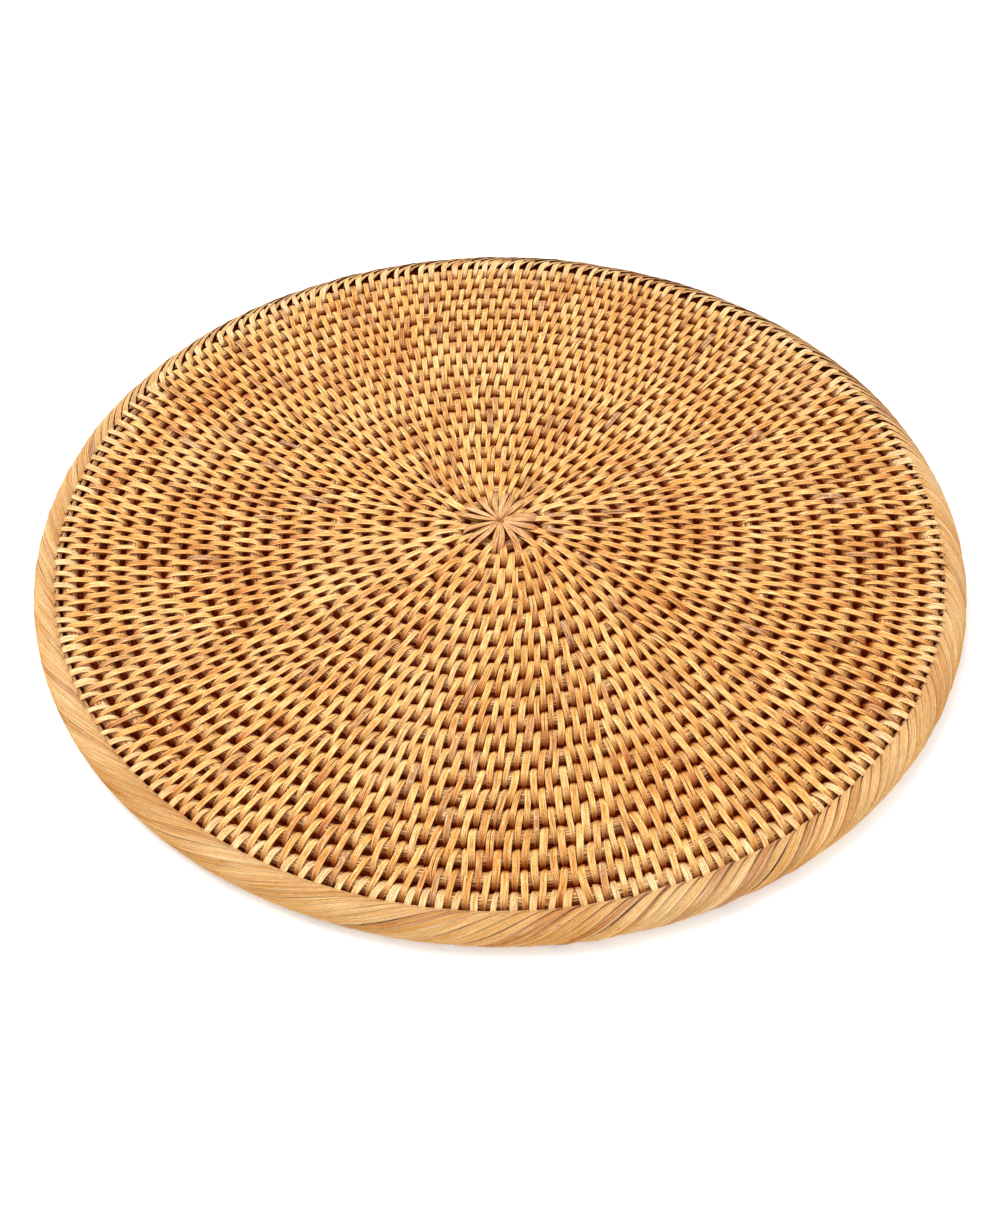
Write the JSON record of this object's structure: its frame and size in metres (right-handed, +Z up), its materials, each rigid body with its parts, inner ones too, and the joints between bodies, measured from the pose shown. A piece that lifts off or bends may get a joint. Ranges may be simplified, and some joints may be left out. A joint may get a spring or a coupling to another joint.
{
  "type": "rattan placemat",
  "caption": "Round coiled rattan placemat: a flat spiral of reed sewn with slanted cane strips, a star of strips over its centre and a low rolled rim.",
  "frame": {"origin": "on the table, under the centre of the mat", "axes": "+Z up through the centre of the mat; -Y towards the viewer of the picture, +X to the viewer's right"},
  "size_m": [0.33, 0.33, 0.011],
  "materials": {
    "sewn_cane": "natural golden cane strips over warm brown reed, low sheen",
    "rim_cane": "pale straw cane, smooth outer skin, low sheen",
    "star_cane": "pinkish tan cane, low sheen"
  },
  "bodies": {
    "root": {"coiled_disc": "sewn_cane", "rolled_rim": "rim_cane", "centre_star": "star_cane"}
  },
  "joints": []
}
